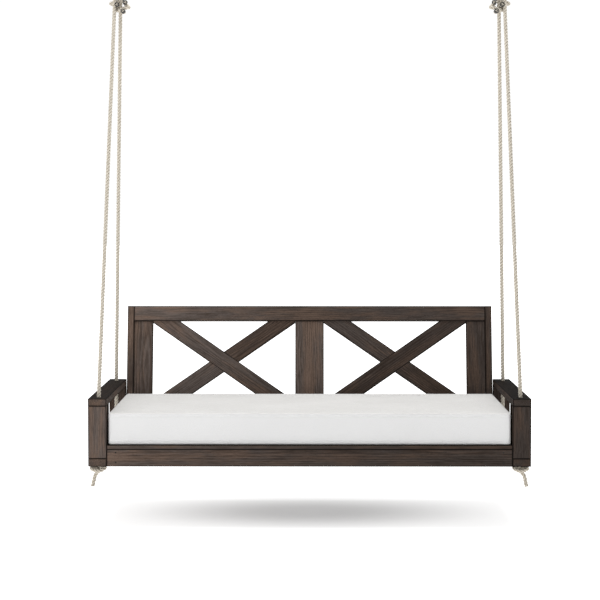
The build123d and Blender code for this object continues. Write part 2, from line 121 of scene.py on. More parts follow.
class Finish:
    """A material in the making. node() adds any node to it."""

    def __init__(self, name):
        self.material = bpy.data.materials.new(name)
        self.material.use_nodes = True
        self.nodes = self.material.node_tree.nodes
        self.shader = self.nodes["Principled BSDF"]

    def node(self, kind, settings=None, sockets=None, output=0):
        """A node of this kind, its settings made first and its sockets fed next; returns one output."""
        made = self.nodes.new("ShaderNode" + kind)
        for key, value in (settings or {}).items():
            setattr(made, key, value)
        for key, value in (sockets or {}).items():
            self.feed(made.inputs[key], value)
        return Value(self, made.outputs[output])

    def feed(self, socket, value):
        if isinstance(value, Value):
            self.material.node_tree.links.new(value.socket, socket)
        else:
            socket.default_value = value

    def shade(self, **sockets):
        """Feed the shader: Base_Color stands for Base Color."""
        for key, value in sockets.items():
            self.feed(self.shader.inputs[key.replace("_", " ")], value)

    def coordinates(self, which="Object"):
        return self.node("TexCoord", output=which)

    def dot(self, vector, direction):
        """How far along a direction: a number."""
        return self.node("VectorMath", {"operation": "DOT_PRODUCT"}, {0: vector, 1: direction}, 1)

    def vector(self, x, y, z):
        return self.node("CombineXYZ", sockets={0: x, 1: y, 2: z})

    def mix(self, factor, a, b, blend="MIX"):
        """Colour a where factor is 0 and b where it is 1."""
        settings = {"data_type": "RGBA", "blend_type": blend}
        return self.node("Mix", settings, {0: factor, 6: a, 7: b}, 2)

    def noise(self, vector, scale, detail=3.0, roughness=0.55):
        sockets = {"Vector": vector, "Scale": scale, "Detail": detail, "Roughness": roughness}
        return self.node("TexNoise", sockets=sockets)

    def ease(self, value, low, high):
        """0 below low and 1 above high, smooth between; low may be the larger."""
        sockets = {"Value": value, 1: low, 2: high}
        return self.node("MapRange", {"interpolation_type": "SMOOTHSTEP"}, sockets)

    def wave(self, phase):
        """A sine of a phase in radians, from 0 to 1."""
        return self.node("Math", {"operation": "SINE"}, {0: phase}) * 0.5 + 0.5

    def grey(self, value):
        """A number as a colour."""
        return self.node("CombineColor", sockets={0: value, 1: value, 2: value})

    def size(self, value):
        return self.node("Math", {"operation": "ABSOLUTE"}, {0: value})

    def bump(self, height, distance, strength=1.0):
        """Feed the shader's normal from a height, where 1 is this many metres."""
        normal = self.node("Bump", sockets={"Height": height, "Distance": distance, "Strength": strength})
        self.shade(Normal=normal)


def colour(red, green, blue):
    """A colour from three numbers, with its alpha."""
    return (red, green, blue, 1.0)


# %% [markdown]
# Each rope is one continuous length of three-strand rope, 17.5 mm thick. It starts in the hole of
# the arm, runs straight up to the ring, goes over the ring's lower rod and comes back down into a
# hitch that ends in a whipped tail. The route is a NURBS line through a few chosen points. Its
# strands could be a bevelled curve each, but a mesh that winds round the line keeps the lay of the
# rope even through the tight turns, so the line is read back and the strands are wound on it.

# %% Rope sizes
strand_count = 3
strand_radius = 0.0048      # fuller than three touching circles, as pressed strands are
strand_offset = 0.0054      # middle of a strand to the middle of the rope
rope_lay = 0.049            # length of one full turn of a strand
ring_step = 0.0038          # between the rings of vertices along a strand
strand_sides = 10
print("turns of a strand to the metre", round(1 / rope_lay, 1))

# %% [markdown]
# A NURBS spline passes smoothly near its points, as a stiff rope lies between the places that hold
# it. Blender turns the spline into a line of vertices. The line is then divided again into even
# steps, so that the rings of vertices along the rope are all the same distance apart.

# %% Route line


def route_line(name, points):
    """The smooth line of a rope's route, evenly spaced, from its NURBS spline."""
    curve = bpy.data.curves.new(name, "CURVE")
    curve.dimensions = "3D"
    spline = curve.splines.new("NURBS")
    spline.points.add(len(points) - 1)
    for control, place in zip(spline.points, points):
        control.co = (*place, 1.0)
    spline.order_u = 3
    spline.use_endpoint_u = True
    spline.resolution_u = 24
    holder = bpy.data.objects.new(name, curve)
    mesh = bpy.data.meshes.new_from_object(holder)
    line = np.array([v.co for v in mesh.vertices], float)
    bpy.data.objects.remove(holder)
    bpy.data.meshes.remove(mesh)
    along = np.concatenate([[0], np.cumsum(np.linalg.norm(np.diff(line, axis=0), axis=1))])
    at = np.linspace(0, along[-1], max(4, round(along[-1] / ring_step)))
    return np.stack([np.interp(at, along, line[:, k]) for k in range(3)], axis=1)


# %% [markdown]
# A tube needs a direction across its line at every step. Each direction is carried over from the
# step before, so the tube doesn't twist by itself, and the lay of the rope comes from its strands.

# %% Tubes


def unit(vectors):
    return vectors / np.maximum(np.linalg.norm(vectors, axis=-1, keepdims=True), 1e-12)


def carried_frame(line):
    """Tangents and two normals along a line; the normals are carried without twisting."""
    tangents = unit(np.gradient(line, axis=0))
    first = np.cross(tangents[0], (0.0, 1.0, 0.0))
    normals = [unit(first)]
    for tangent in tangents[1:]:
        kept = normals[-1] - tangent * (normals[-1] @ tangent)
        normals.append(unit(kept))
    normals = np.array(normals)
    return tangents, normals, np.cross(tangents, normals)


def tube(centres, radii, sides, outwards=None):
    """Rings of points round a line. The first point of each ring lies outwards, if that is given."""
    tangents, across, over = carried_frame(centres)
    if outwards is not None:
        across = unit(outwards - tangents * (outwards * tangents).sum(1, keepdims=True))
        over = np.cross(tangents, across)
    angles = np.linspace(0, 2 * math.pi, sides, endpoint=False)
    spread = across[:, None] * np.cos(angles)[:, None] + over[:, None] * np.sin(angles)[:, None]
    return centres[:, None] + spread * radii[:, None, None]


# %% [markdown]
# The rings of points become faces here. Each face gets a place on a UV map, u along the rope and v
# round the strand, because the finish draws its yarns on that map.

# %% Meshes from tubes


def piece_of(name, work, material, smooth=True):
    """An object in one material, made from a finished bmesh."""
    mesh = bpy.data.meshes.new(name)
    work.to_mesh(mesh)
    work.free()
    for polygon in mesh.polygons:
        polygon.use_smooth = smooth
    mesh.materials.append(material)
    piece = bpy.data.objects.new(name, mesh)
    scene.collection.objects.link(piece)
    return piece


def mesh_piece(name, rings_list, material, body):
    """One mesh from tubes, each a stack of rings closed at both ends, with u along and v round."""
    work = bmesh.new()
    uv = work.loops.layers.uv.new("along_round")
    for rings in rings_list:
        count, sides = rings.shape[:2]
        rows = [[work.verts.new(p) for p in ring] for ring in rings]
        for i in range(count - 1):
            for j in range(sides):
                k = (j + 1) % sides
                face = work.faces.new((rows[i][j], rows[i][k], rows[i + 1][k], rows[i + 1][j]))
                corners = ((i, j), (i, j + 1), (i + 1, j + 1), (i + 1, j))
                for loop, (a, b) in zip(face.loops, corners):
                    loop[uv].uv = (a * ring_step, b / sides)
        for row, order in ((rows[0], -1), (rows[-1], 1)):
            cap = work.faces.new(row[::order])
            for loop in cap.loops:
                loop[uv].uv = (0.0, 0.0)
    bmesh.ops.recalc_face_normals(work, faces=work.faces)
    piece = piece_of(name, work, material)
    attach(piece, body)
    return piece


# %% [markdown]
# Three strands make the rope. Where the rope is cut and not bound, they spread and thin a little.

# %% Strands
fray_rings = 6              # rings of vertices that fray, counted from the rope's end
fray_spread = 0.5           # how much further out, and how much thinner, a fully frayed strand is
fray_thin = 0.55


def strands(line, fray=0.0):
    """Three strands wound round a line. The last few rings spread and thin out by fray."""
    _, across, over = carried_frame(line)
    steps = np.arange(len(line))
    turn = 2 * math.pi * steps * ring_step / rope_lay
    loose = np.clip((steps - len(line) + fray_rings) / fray_rings, 0, 1) * fray
    made = []
    for k in range(strand_count):
        angle = turn + 2 * math.pi * k / strand_count
        out = across * np.cos(angle)[:, None] + over * np.sin(angle)[:, None]
        centres = line + out * (strand_offset * (1 + fray_spread * loose))[:, None]
        made.append(tube(centres, strand_radius * (1 - fray_thin * loose), strand_sides, out))
    return made


# %% [markdown]
# Laid rope shows two patterns: the three strands, which are geometry above, and the yarns inside
# each strand, which twist the other way. The yarns are too fine to model, so they are stripes that
# lean across the strand's own UV map, with the loose fibres as a fine noise between them.

# %% Rope finish
rope_pale = colour(0.580, 0.535, 0.460)
rope_deep = colour(0.440, 0.395, 0.320)
rope_groove_shade = colour(0.270, 0.228, 0.170)
yarn_count = 7
yarn_pitch = 0.034


def rope_finish():
    rope = Finish("laid_rope")
    spot = rope.coordinates("UV")
    along, around = rope.dot(spot, (1, 0, 0)), rope.dot(spot, (0, 1, 0))
    yarn = rope.wave((along / yarn_pitch + around) * (2 * math.pi * yarn_count))
    outer = rope.wave((around + 0.25) * (2 * math.pi))
    place = rope.coordinates()
    fibre = rope.noise(rope.vector(along * 900, around * 60, 0.0), 1.0, 3.0)
    cloud = rope.noise(place, 38.0, 2.0)
    shade = rope.ease(yarn * 0.40 + fibre * 0.45 + cloud * 0.35, 0.25, 0.90)
    tone = rope.mix(shade, rope_deep, rope_pale)
    # Painted shade: the inner side of each strand, where the strands press against each other, is painted
    # dark.
    groove_shade = rope.ease(outer, 0.70, 0.30)
    tone = rope.mix(groove_shade * 0.85, tone, rope_groove_shade)
    rope.shade(Base_Color=tone, Roughness=0.86)
    rope.shader.inputs["Sheen Weight"].default_value = 0.35
    rope.shader.inputs["Sheen Roughness"].default_value = 0.5
    rope.shader.inputs["Specular IOR Level"].default_value = 0.25
    rope.bump(yarn * 0.7 + fibre * 0.5, 0.0007, 0.8)
    return rope.material


laid_rope = rope_finish()

# %% [markdown]
# A cut rope end is bound with dark twine so that it can't unlay. The binding is a short sleeve, a
# little wider than the rope, with a lip that turns in over the end and fine turns of twine drawn
# by its finish. It is a closed loop of rings: the outside, the lip, and back along the inside.

# %% Whipping
whip_length = 0.017
whip_radius = 0.0112
lip_radius = 0.0052         # the rope's end shows inside this
lip_reach = 0.0016
lip_round = 0.0010          # how far the outside draws in at the lip
sleeve_wall = 0.0012
sleeve_sides = 20
whip_twine = 0.0011         # pitch of its turns


def whipping_finish():
    twine = Finish("black_whipping")
    spot = twine.coordinates("UV")
    turns = twine.wave(twine.dot(spot, (1, 0, 0)) * (2 * math.pi / whip_twine))
    fibre = twine.noise(twine.coordinates(), 900.0, 2.0)
    tone = twine.mix(fibre, colour(0.006, 0.0055, 0.005), colour(0.028, 0.026, 0.024))
    twine.shade(Base_Color=tone, Roughness=0.5 + fibre * 0.2)
    twine.bump(turns + fibre * 0.3, 0.0003, 0.9)
    return twine.material


black_whipping = whipping_finish()


def sleeve(line):
    """Rings of a sleeve on the last stretch of a rope: outside, over a lip at the end, and inside."""
    last = line[-round(whip_length / ring_step) - 1 :]
    end = last[-1] + unit(last[-1] - last[-2]) * lip_reach
    last = np.vstack([last, end])
    outer, inner = np.full(len(last), whip_radius), np.full(len(last), whip_radius - sleeve_wall)
    outer[-1] -= lip_round
    inner[-1] = lip_radius
    return np.concatenate([tube(last, outer, sleeve_sides), tube(last, inner, sleeve_sides)[::-1]])


def sleeve_piece(name, lines, body):
    """The sleeves on some rope ends, as one mesh."""
    work = bmesh.new()
    uv = work.loops.layers.uv.new("along_round")
    for rings in map(sleeve, lines):
        rows = [[work.verts.new(p) for p in ring] for ring in rings]
        for i, row in enumerate(rows):
            after = rows[(i + 1) % len(rows)]
            for j in range(sleeve_sides):
                k = (j + 1) % sleeve_sides
                face = work.faces.new((row[j], row[k], after[k], after[j]))
                for loop, a in zip(face.loops, (i, i, i + 1, i + 1)):
                    loop[uv].uv = (a * ring_step, 0.0)
    bmesh.ops.recalc_face_normals(work, faces=work.faces)
    piece = piece_of(name, work, black_whipping)
    bevel = piece.modifiers.new("soft_lip", "BEVEL")
    bevel.width, bevel.segments, bevel.limit_method = 0.0004, 2, "ANGLE"
    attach(piece, body)
    return piece


# %% [markdown]
# The routes are written for the right side, in metres, and mirrored for the left by changing the
# sign of X. The rope itself isn't mirrored, so its strands are laid the same way on both sides. The
# front and rear ropes hang from the ring and end in the hitch, the lashing ties them together below
# the ring, and each arm holds its rope with a stopper knot whose frayed tail hangs down.

# %% Rope routes
front_route = [
    (1.0035, -0.4900, -2.1330), (1.0035, -0.4900, -2.1080), (1.0014, -0.4640, -2.0000),
    (0.9675, -0.0362, -0.3250), (0.9653, -0.0095, -0.2180), (0.9655, -0.0088, -0.1600),
    (0.9661, -0.0090, -0.1270), (0.9661, -0.0090, -0.0980), (0.9369, -0.0090, -0.0980),
    (0.9370, -0.0080, -0.1560), (0.9390, 0.0030, -0.1860), (0.9640, 0.0130, -0.1965),
    (0.9870, 0.0110, -0.1985), (0.9870, 0.0290, -0.2005), (0.9600, 0.0300, -0.2035),
    (0.9470, 0.0150, -0.2075), (0.9500, -0.0120, -0.2095), (0.9520, -0.0370, -0.2085),
]
rear_route = [
    (1.0035, 0.3990, -2.1330), (1.0035, 0.3990, -2.1080), (0.9999, 0.3779, -2.0000),
    (0.9415, 0.0310, -0.3250), (0.9378, 0.0095, -0.2180), (0.9375, 0.0088, -0.1600),
    (0.9369, 0.0090, -0.1270), (0.9369, 0.0090, -0.0980), (0.9661, 0.0090, -0.0980),
    (0.9661, 0.0090, -0.1270), (0.9662, 0.0100, -0.1560), (0.9665, 0.0130, -0.1980),
    (0.9645, 0.0130, -0.2270), (0.9520, 0.0000, -0.2365), (0.9370, -0.0160, -0.2345),
    (0.9180, -0.0190, -0.2260), (0.8970, -0.0130, -0.2205), (0.8965, 0.0100, -0.2190),
    (0.9080, 0.0220, -0.2080), (0.9150, 0.0140, -0.2000), (0.9150, -0.0080, -0.1980),
    (0.9100, -0.0280, -0.1970),
]
lashing_route = [
    (0.9225, -0.0370, -0.2395), (0.9195, -0.0120, -0.2440), (0.9210, 0.0180, -0.2420),
    (0.9380, 0.0330, -0.2370), (0.9540, 0.0350, -0.2240), (0.9450, 0.0370, -0.2040),
    (0.9350, 0.0360, -0.1840), (0.9300, 0.0340, -0.1660),
]
knot_route = [
    (1.0035, -0.4900, -2.1180), (1.0035, -0.4900, -2.1600), (1.0035, -0.4900, -2.3800),
    (1.0035, -0.4900, -2.4180), (1.0010, -0.4850, -2.4430), (0.9840, -0.4740, -2.4440),
    (0.9720, -0.4860, -2.4450), (0.9770, -0.5060, -2.4500), (0.9940, -0.5130, -2.4590),
    (1.0150, -0.5120, -2.4600), (1.0330, -0.5040, -2.4530), (1.0420, -0.4880, -2.4500),
    (1.0300, -0.4720, -2.4480), (1.0120, -0.4680, -2.4500), (1.0020, -0.4760, -2.4580),
    (1.0080, -0.4880, -2.4680), (1.0200, -0.4900, -2.4780), (1.0260, -0.4900, -2.4960),
    (1.0300, -0.4900, -2.5160), (1.0340, -0.4900, -2.5360),
]
rear_hole = 0.8890          # from the front rope's hole to the rear one's
tail_fray = 0.35            # of the cut ends below the stopper knots


def mirrored(route, sign, shift=0.0):
    return [(sign * x, y + shift, z) for x, y, z in route]


def declare(nodes):
    """Hide the model's nodes that this rope takes the place of."""
    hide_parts(*nodes)


for side, sign in SIDES.items():
    body = f"{side}_ropes"
    for place, route in (("front", front_route), ("rear", rear_route)):
        line = route_line(f"{place}_{side}", mirrored(route, sign))
        rope = mesh_piece(f"hanging_rope_{place}_{side}", strands(line), laid_rope, body)
        whip = sleeve_piece(f"whipping_{place}_{side}", [line], body)
        declare([f"rope_{place}_{side}"])
    line = route_line(f"lashing_{side}", mirrored(lashing_route, sign))
    rope = mesh_piece(f"hitch_rope_{side}", strands(line), laid_rope, body)
    whip = sleeve_piece(f"whipping_hitch_{side}", [line, line[::-1]], body)
    declare([f"rope_hitch_{side}"])
    for place, shift in (("front", 0.0), ("rear", rear_hole)):
        line = route_line(f"end_{place}_{side}", mirrored(knot_route, sign, shift))
        rope = mesh_piece(f"stopper_rope_{place}_{side}", strands(line, tail_fray), laid_rope, "seat")
        declare([f"rope_end_{place}_{side}"])

# %% [markdown]
# The boards are oiled hardwood that has weathered to a grey brown. Wood is a solid thing: rings
# round the heart of the tree, stretched along it, so the same pattern gives long streaks on a face
# and curved rings on a sawn end. Each board gets its own directions, its own place in the log and a
# slightly different tone, all worked out from the board's own box.

# %% Grain directions
brace_fall = math.radians(34.9)
back_lean = math.radians(12.0)
ALONG, INWARD, UP = Vector((1, 0, 0)), Vector((0, 1, 0)), Vector((0, 0, 1))
back_up = Vector((0, math.sin(back_lean), math.cos(back_lean)))
back_out = Vector((0, -math.cos(back_lean), math.sin(back_lean)))
falling = ALONG * math.cos(brace_fall) - back_up * math.sin(brace_fall)
rising = ALONG * math.cos(brace_fall) + back_up * math.sin(brace_fall)
GRAIN = {
    "arm_cap": (INWARD, ALONG), "base_board": (INWARD, ALONG), "joist": (INWARD, ALONG),
    "end_beam": (INWARD, ALONG), "front_post": (UP, ALONG), "channel_post": (UP, ALONG),
    "rear_post": (UP, ALONG), "front_rail": (ALONG, UP), "rear_rail": (ALONG, UP),
    "deck_board": (ALONG, INWARD), "back_side_board": (back_up, back_out),
    "back_end_stile": (back_up, ALONG), "back_centre_post": (back_up, ALONG),
    "back_top_rail": (ALONG, back_up), "back_bottom_rail": (ALONG, back_up),
    "long_brace_left": (falling, None), "long_brace_right": (rising, None),
    "upper_short_brace_left": (rising, None), "lower_short_brace_left": (rising, None),
    "upper_short_brace_right": (falling, None), "lower_short_brace_right": (falling, None),
}
subparts = frame["record"]["subparts"]
boards = [part["node"] for part in subparts if part["material_slot"] == "weathered_wood"]
print(len(boards), "boards")

# %% [markdown]
# A board's directions follow from its name. Its middle and its sizes are measured from its own
# vertices along those directions, so a brace that leans gets grain and edges that lean with it.

# %% Board directions


def board_frame(name):
    """A board's centre, its three directions (along, across, through) and half its sizes."""
    found = max((key for key in GRAIN if name.startswith(key)), key=len)
    along, across = GRAIN[found]
    if across is None:
        across = back_out.cross(along)
    axes = np.array([along, across, along.cross(across)], float)
    points = np.array([v.co for v in frame["nodes"][name].data.vertices], float)
    reach = points @ axes.T
    low, high = reach.min(0), reach.max(0)
    return axes, (low + high) / 2, (high - low) / 2


# %% [markdown]
# The finish is made of growth rings, long streaks, fine fibres and open pores, all stretched along
# the board. The back is made lighter than the seat. Painted light makes the left of the swing lighter
# and the right darker, painted shade darkens the tops of the boards, and a thin painted shade runs
# along every edge of each board, as in the grooves between boards.

# %% Weathered wood
wood_dark = colour(0.034, 0.0235, 0.0180)
wood_grey = colour(0.096, 0.0800, 0.0730)
wood_brown = colour(0.117, 0.0810, 0.0630)
wood_edge_shade = colour(0.0060, 0.0045, 0.0035)
ring_pitch = 0.0055         # one year's growth
back_lighter, post_lighter = 1.38, 2.0        # of the back, and of its centre post
edge_starts, edge_full = 0.0050, 0.0022     # of the dark edge, from the corner of the board
draw = np.random.default_rng(12)


def weathered_wood(name):
    axes, middle, half = board_frame(name)
    wood = Finish("weathered_" + name)
    place = wood.coordinates()
    along, across, through = (wood.dot(place, tuple(axis)) - float(m) for axis, m in zip(axes, middle))
    shift = draw.uniform(-40, 40, 3)
    heart = draw.uniform(0.05, 0.16), draw.uniform(-0.12, 0.12)
    tone = draw.uniform(-0.05, 0.05)
    # The back boards and braces are made lighter than the seat, and the back's centre post lighter still.
    lighter_by = back_lighter if name.startswith(("back_", "long_", "upper_", "lower_")) else 1.0
    if name == "back_centre_post":
        lighter_by = post_lighter

    def streaked(along_rate, across_rate, detail, turn):
        """Noise drawn out along the grain: so many streaks to the metre, along and across."""
        place_in_log = wood.vector(
            along * along_rate + shift[turn],
            across * across_rate + shift[turn - 1],
            through * across_rate + shift[turn - 2],
        )
        return wood.noise(place_in_log, 1.0, detail, 0.6)

    bend = streaked(1.6, 9, 2.0, 0) - 0.5
    side, depth = across + bend * 0.035 + heart[1], through + bend * 0.03 + heart[0]
    radius = wood.node("Math", {"operation": "SQRT"}, {0: side * side + depth * depth})
    ring = wood.wave(radius * (2 * math.pi / ring_pitch))
    fibre = streaked(45, 1100, 2.0, 1)
    streak = streaked(11, 260, 4.0, 2)
    patch = streaked(4.5, 26, 3.0, 1)
    pore = streaked(60, 620, 1.0, 0)
    lit = wood.ease(streak * 0.50 + fibre * 0.30 + ring * 0.10 + patch * 0.30, 0.42 - tone, 0.82 - tone)
    brown = wood.ease(patch * 0.7 + bend * 0.6 + streak * 0.3, 0.42, 0.62)
    body = wood.mix(lit, wood_dark, wood.mix(brown, wood_grey, wood_brown))
    vein = wood.ease(pore, 0.36, 0.28)
    body = wood.mix(vein * 0.6, body, wood_dark)
    # Painted shade: a thin dark line along every edge of each board, standing for the shade in the grooves
    # between boards.
    sides = zip((along, across, through), (float(h) for h in half))
    rims = sum((wood.ease(wood.size(way), h - edge_starts, h - edge_full) for way, h in sides), 0)
    edge_shade = wood.ease(rims, 1.20, 1.90)
    body = wood.mix(edge_shade * 0.85, body, wood_edge_shade)
    # Painted light: the wood is painted lighter towards the left of the swing and darker towards the right.
    right = wood.dot(place, (1, 0, 0))
    painted_side_light_and_back_tone = (right * right * 0.20 - right * 0.32 + 0.70) * lighter_by
    # Painted shade: faces that look upwards are painted darker.
    facing = wood.dot(wood.node("NewGeometry", output="Normal"), (0, 0, 1))
    painted_top_shade = wood.ease(facing, 0.55, 0.95) * -0.74 + 1
    body = wood.mix(1.0, body, wood.grey(painted_side_light_and_back_tone * painted_top_shade), "MULTIPLY")
    wood.shade(Base_Color=body, Roughness=0.56 + fibre * 0.22 + vein * 0.10)
    wood.shader.inputs["Specular IOR Level"].default_value = 0.03
    wood.bump(streak * 0.45 + fibre * 0.40 + ring * 0.15 - vein * 0.5, 0.0008, 0.8)
    return wood.material


for name in boards:
    slots = frame["nodes"][name].material_slots
    finish = weathered_wood(name)
    for slot in slots:
        slot.material = finish
print("wood finishes", len(boards))

# %% [markdown]
# The cushion is one block of foam in a canvas cover. It starts as a box with rounded corners and
# edges, cut across by planes so that it has enough vertices to bend. The cuts lie closest together
# along the seams, where the cloth will be pressed in.

# %% Cushion shape
low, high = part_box("cushion_cover")
cushion_middle = (low + high) / 2
crown = 0.0015              # of the filled top above its space
most_swell = 0.0030
corner_round = 0.014
seam_inset = 0.016          # from the cushion's top and bottom
edge_round = 0.007
cell = 0.038                # between the cuts, before the mesh is made finer
rim_room = 0.04             # left uncut beside the rounded rims


def box_pad(name, half, corner, edge, cuts):
    """A closed box with rounded corners and edges, cut across X, Y and Z at the given places."""
    work = bmesh.new()
    bmesh.ops.create_cube(work, size=2.0)
    bmesh.ops.scale(work, vec=half, verts=work.verts)
    upright = [e for e in work.edges if abs(e.verts[0].co.z - e.verts[1].co.z) > half.z]
    bmesh.ops.bevel(work, geom=upright, offset=corner, segments=5, profile=0.5, affect="EDGES")
    rims = [e for e in work.edges if e.verts[0].co.z * e.verts[1].co.z > 0
            and len({f.normal.z > 0.5 or f.normal.z < -0.5 for f in e.link_faces}) == 2]
    bmesh.ops.bevel(work, geom=rims, offset=edge, segments=4, profile=0.5, affect="EDGES")
    for axis, places in enumerate(cuts):
        direction = [float(axis == k) for k in range(3)]
        for place in places:
            everything = work.verts[:] + work.edges[:] + work.faces[:]
            at = [place * k for k in direction]
            bmesh.ops.bisect_plane(work, geom=everything, plane_co=at, plane_no=direction, dist=1e-5)
    bmesh.ops.translate(work, vec=cushion_middle, verts=work.verts)
    mesh = bpy.data.meshes.new(name)
    work.to_mesh(mesh)
    work.free()
    piece = bpy.data.objects.new(name, mesh)
    scene.collection.objects.link(piece)
    return piece


def applied(piece):
    """Replace a piece's mesh by what its modifiers make of it."""
    result = bpy.data.meshes.new_from_object(piece.evaluated_get(bpy.context.evaluated_depsgraph_get()))
    piece.modifiers.clear()
    piece.data = result
    return piece


def points_of(mesh, key="co"):
    """The vertices' places, or their normals, one to a row."""
    flat = np.empty(len(mesh.vertices) * 3, np.float32)
    mesh.vertices.foreach_get(key, flat)
    return flat.reshape(-1, 3).astype(float)


half = (high - low) / 2
counts = [round((h - rim_room) / cell) for h in half[:2]]
cuts = [np.arange(-count, count + 1) * cell for count in counts]
seam_cuts = [half.z - seam_inset + step for step in (-0.010, -0.006, -0.003, 0.0, 0.003)]
cuts.append(np.array([-z for z in seam_cuts] + [-0.02, 0.02] + seam_cuts))
cushion = box_pad("mattress_cushion", half, corner_round, edge_round, cuts)
print("cushion cells", len(cushion.data.polygons))

# %% [markdown]
# Foam fills its cover tightly, so the cover bulges a little between its rims. Cloth simulation with
# air pressure inside gives the direction in which each point moves. A mattress stays flat, so each
# point is held within a few millimetres of its place, and the whole is fitted to its space again.

# %% Fill the cover
fill_frames = 20
fill_pressure = 4.0
deck_clearance = 0.0003


def swell(piece, most):
    """Blow the piece up as cloth, and keep each point within most of its place."""
    start = points_of(piece.data)
    cloth = piece.modifiers.new("fill", "CLOTH")
    settings = cloth.settings
    settings.use_pressure = True
    settings.uniform_pressure_force = fill_pressure
    settings.effector_weights.gravity = 0.0
    settings.quality = 4
    for frame_number in range(1, fill_frames + 1):
        scene.frame_set(frame_number)
    swollen = piece.evaluated_get(bpy.context.evaluated_depsgraph_get()).to_mesh()
    moved = points_of(swollen) - start
    piece.modifiers.clear()
    scene.frame_set(1)
    far = np.linalg.norm(moved, axis=1, keepdims=True)
    kept = start + moved * (most * np.tanh(far / most) / np.maximum(far, 1e-9))
    room_low, room_high = np.array(low), np.array(high) + (0, 0, crown)
    least, greatest = kept.min(0) + (0, 0, most), kept.max(0)
    kept = room_low + (kept - least) * (room_high - room_low) / (greatest - least)
    kept[:, 2] = np.maximum(kept[:, 2], low.z + deck_clearance)     # flat where it lies on the deck
    piece.data.vertices.foreach_set("co", kept.astype(np.float32).ravel())
    piece.data.update()
    print("cushion swelled by up to", round(float(far.max()) * 1000, 1), "mm, kept", most * 1000)


swell(cushion, most_swell)

# %% [markdown]
# The cover is sewn from a top, a bottom and a band round the sides. The seams run just inside the
# edges, where the thread pulls the cloth in, so the finished mesh is pressed in along two lines,
# with slight puckers between the stitches.

# %% Seams
seam_width = 0.0022
seam_depth, depth_change = 0.0012, 0.0004
pucker_reach, pucker_height = 0.016, 0.0005
pucker_length = 0.055
seam_levels = (high.z - seam_inset, low.z + seam_inset)

subdivide = cushion.modifiers.new("finer", "SUBSURF")
subdivide.levels = subdivide.render_levels = 2
applied(cushion)
places = points_of(cushion.data)
normals = points_of(cushion.data, "normal")
sideways = np.clip(np.hypot(normals[:, 0], normals[:, 1]), 0, 1)
run = (places[:, 0] + places[:, 1]) * 2 * math.pi / pucker_length
for level in seam_levels:
    pull = np.exp(-(((places[:, 2] - level) / seam_width) ** 2)) * sideways
    places -= normals * (pull * (seam_depth + depth_change * np.sin(run)))[:, None]
    puckers = np.exp(-(((places[:, 2] - level) / pucker_reach) ** 2)) * sideways
    places += normals * (puckers * pucker_height * np.sin(run * 1.7 + level * 900))[:, None]
cushion.data.vertices.foreach_set("co", places.astype(np.float32).ravel())
cushion.data.update()
for polygon in cushion.data.polygons:
    polygon.use_smooth = True
print("cushion triangles", sum(len(p.vertices) - 2 for p in cushion.data.polygons))

# %% [markdown]
# Canvas is a plain weave: warp and weft cross one over one, about a millimetre apart. The cushion
# has no UV map, so the weave is drawn in the plane that each face looks along, and the three planes
# are weighed by the face's direction. The band round the sides is painted darker than the top: this
# is painted shade on the upright faces, a shaded copy of the same canvas.

# %% Canvas finish
thread_pitch = 0.0011
top_shade, top_pale = colour(0.70, 0.69, 0.67), colour(0.80, 0.79, 0.775)
shaded_band_dark, shaded_band_pale = colour(0.607, 0.606, 0.605), colour(0.640, 0.639, 0.638)


def canvas_finish():
    canvas = Finish("white_canvas")
    place = canvas.coordinates()
    facing = canvas.node("NewGeometry", output="Normal")
    x, y, z = (canvas.dot(place, axis) for axis in ((1, 0, 0), (0, 1, 0), (0, 0, 1)))
    nx, ny, nz = (canvas.size(canvas.dot(facing, axis)) for axis in ((1, 0, 0), (0, 1, 0), (0, 0, 1)))
    turns = 2 * math.pi / thread_pitch
    wobble = canvas.noise(place, 60.0, 2.0) * 1.6
    wave_x, wave_y, wave_z = (canvas.wave(c * turns + wobble) for c in (x, y, z))
    weave = wave_x * wave_y * nz + wave_x * wave_z * ny + wave_y * wave_z * nx
    slub = canvas.noise(canvas.vector(x * 40, y * 40, z * 420), 1.0, 3.0)
    soft = canvas.noise(place, 3.2, 3.0)
    tint = canvas.ease(weave * 0.35 + slub * 0.35 + soft * 0.45, 0.25, 0.72)
    # Painted shade: the upright faces get a darker, shaded copy of the canvas colour, the top and bottom the
    # plain one.
    top, shaded_band = canvas.mix(tint, top_shade, top_pale), canvas.mix(tint, shaded_band_dark, shaded_band_pale)
    canvas.shade(Base_Color=canvas.mix(canvas.ease(nz, 0.3, 0.8), shaded_band, top), Roughness=0.9)
    canvas.shader.inputs["Sheen Weight"].default_value = 0.2
    canvas.shader.inputs["Sheen Roughness"].default_value = 0.6
    canvas.shader.inputs["Specular IOR Level"].default_value = 0.2
    canvas.bump(weave * 0.8 + slub * 0.4, 0.00035, 0.7)
    return canvas.material


white_canvas = canvas_finish()
cushion.data.materials.clear()
cushion.data.materials.append(white_canvas)
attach(cushion, "cushion")
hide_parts("cushion_cover", "cushion_foam")

# %% [markdown]
# The metal and the hidden parts: galvanised steel for the ring and the screw eye, dark coated steel
# for the fasteners and pale beech for the dowels. They are small, so one finish serves each kind,
# and it is put on the model's own nodes through their material slots.

# %% Metal and small finishes


